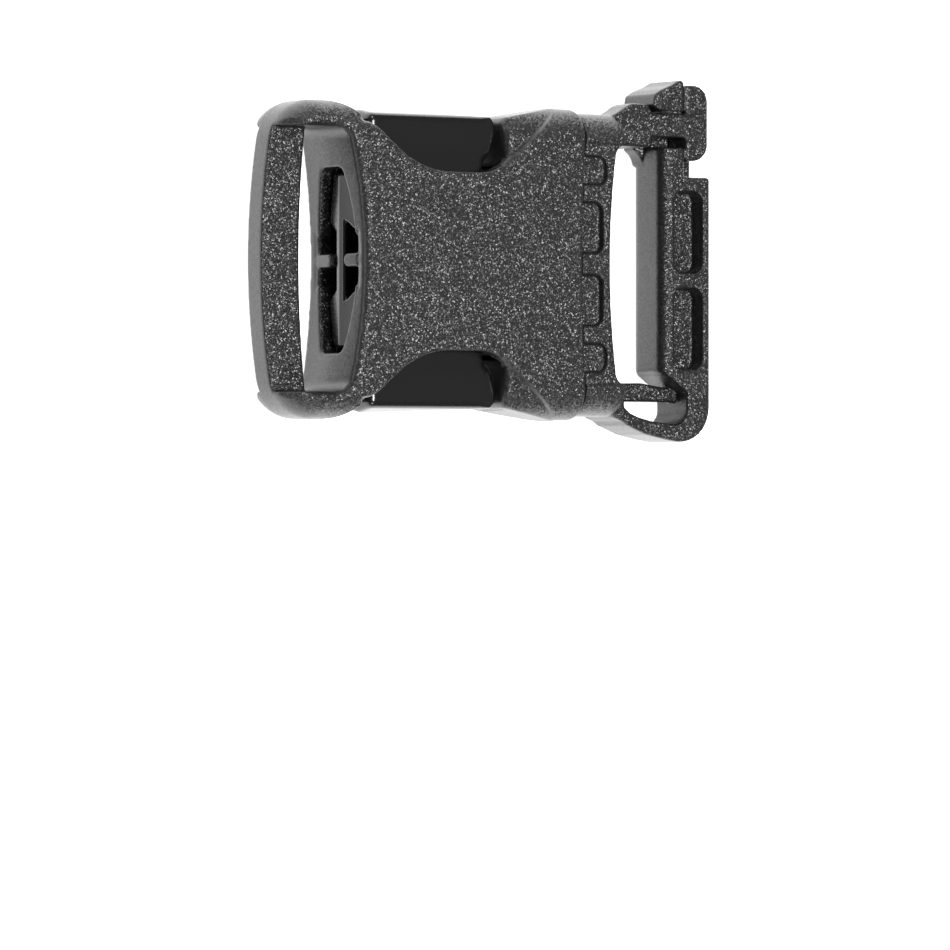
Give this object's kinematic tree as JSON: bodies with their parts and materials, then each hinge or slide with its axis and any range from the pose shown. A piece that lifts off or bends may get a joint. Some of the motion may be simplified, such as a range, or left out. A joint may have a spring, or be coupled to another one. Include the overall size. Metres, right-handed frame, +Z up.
{
  "type": "side release buckle",
  "caption": "Fastened black plastic side release buckle for narrow webbing, with a snap-open web bar on the plug.",
  "frame": {"origin": "middle of the buckle's length, on the webbing's centreline, in the flat strip of the back face that the buckle lies on", "axes": "+X along the webbing from the socket's web bar to the plug's gate, +Y across the webbing towards the tee latch, +Z up out of the front face"},
  "size_m": [0.0582, 0.0406, 0.012],
  "materials": {
    "black_acetal": "fine spark-eroded texture, slightly sparkling",
    "black_acetal_smooth": "smooth satin, prongs and buttons"
  },
  "bodies": {
    "root": {"socket": "black_acetal", "plug": "black_acetal"}
  },
  "joints": []
}
